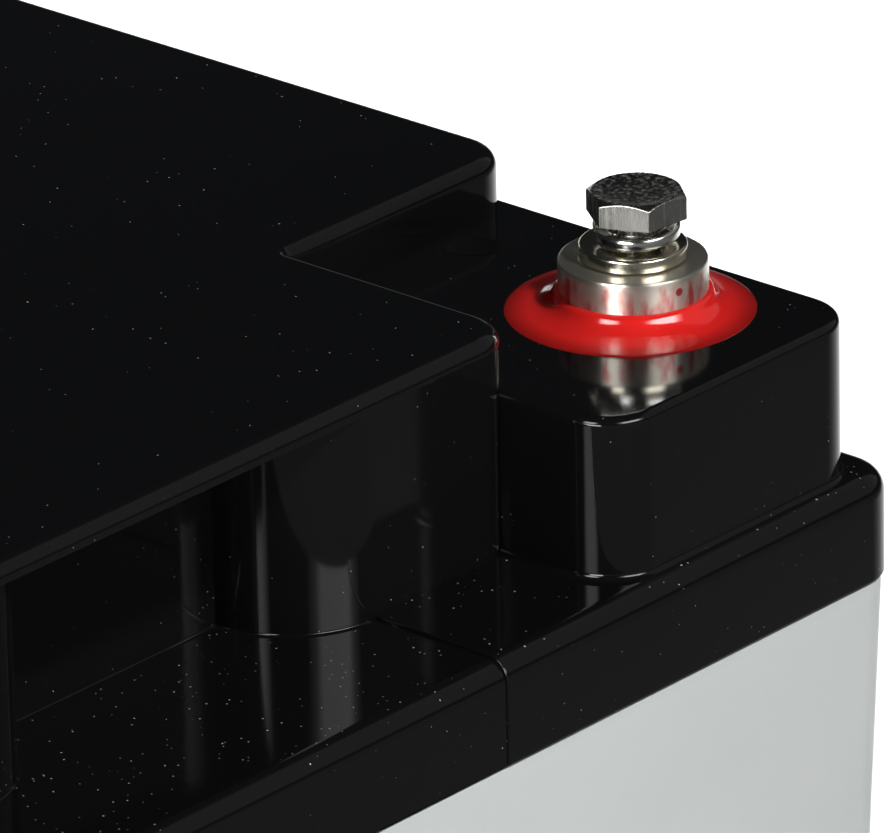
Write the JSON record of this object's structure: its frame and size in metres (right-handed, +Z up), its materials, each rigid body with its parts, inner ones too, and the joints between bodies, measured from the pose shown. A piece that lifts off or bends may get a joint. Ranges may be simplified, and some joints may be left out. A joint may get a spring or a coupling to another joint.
{
  "type": "sealed lead-acid battery",
  "caption": "Rectangular sealed lead-acid battery block with a grey container, a black stepped lid with finger grips, and bolted corner terminals.",
  "frame": {"origin": "middle of the container's flat base", "axes": "+X along the long side towards the positive terminal, +Y towards the side without terminals, +Z up"},
  "size_m": [0.196, 0.165, 0.1773],
  "materials": {
    "container_plastic": "satin moulded grey",
    "lid_plastic": "polished moulded black with dust specks",
    "red_resin": "glossy cast resin",
    "black_resin": "glossy cast resin",
    "terminal_metal": "turned, tinned, with smears of resin",
    "plated_steel": "rolled and plated",
    "bright_steel": "bright rolled, scuffed on top",
    "rubber": "matt",
    "cast_lead": "dull cast lead",
    "positive_plate": "pasted plate, dark brown",
    "negative_plate": "pasted plate, grey",
    "glass_mat": "fibre mat"
  },
  "bodies": {
    "root": {"container": "container_plastic", "lid": "lid_plastic", "valve_cover_strip": "lid_plastic", "valve_cap_1": "rubber", "valve_cap_2": "rubber", "valve_cap_3": "rubber", "valve_cap_4": "rubber", "valve_cap_5": "rubber", "valve_cap_6": "rubber", "positive_post": "terminal_metal", "positive_sealing_compound": "red_resin", "positive_sealing_ring": "rubber", "positive_flat_washer": "plated_steel", "positive_spring_washer": "bright_steel", "positive_bolt": "bright_steel", "negative_post": "terminal_metal", "negative_sealing_compound": "black_resin", "negative_sealing_ring": "rubber", "negative_flat_washer": "plated_steel", "negative_spring_washer": "bright_steel", "negative_bolt": "bright_steel", "cell_1_positive_group": "positive_plate", "cell_1_negative_group": "negative_plate", "cell_1_separator": "glass_mat", "cell_2_positive_group": "positive_plate", "cell_2_negative_group": "negative_plate", "cell_2_separator": "glass_mat", "cell_3_positive_group": "positive_plate", "cell_3_negative_group": "negative_plate", "cell_3_separator": "glass_mat", "cell_4_positive_group": "positive_plate", "cell_4_negative_group": "negative_plate", "cell_4_separator": "glass_mat", "cell_5_positive_group": "positive_plate", "cell_5_negative_group": "negative_plate", "cell_5_separator": "glass_mat", "cell_6_positive_group": "positive_plate", "cell_6_negative_group": "negative_plate", "cell_6_separator": "glass_mat", "cell_weld_1": "cast_lead", "cell_weld_2": "cast_lead", "cell_weld_3": "cast_lead", "cell_weld_4": "cast_lead", "cell_weld_5": "cast_lead"}
  },
  "joints": []
}
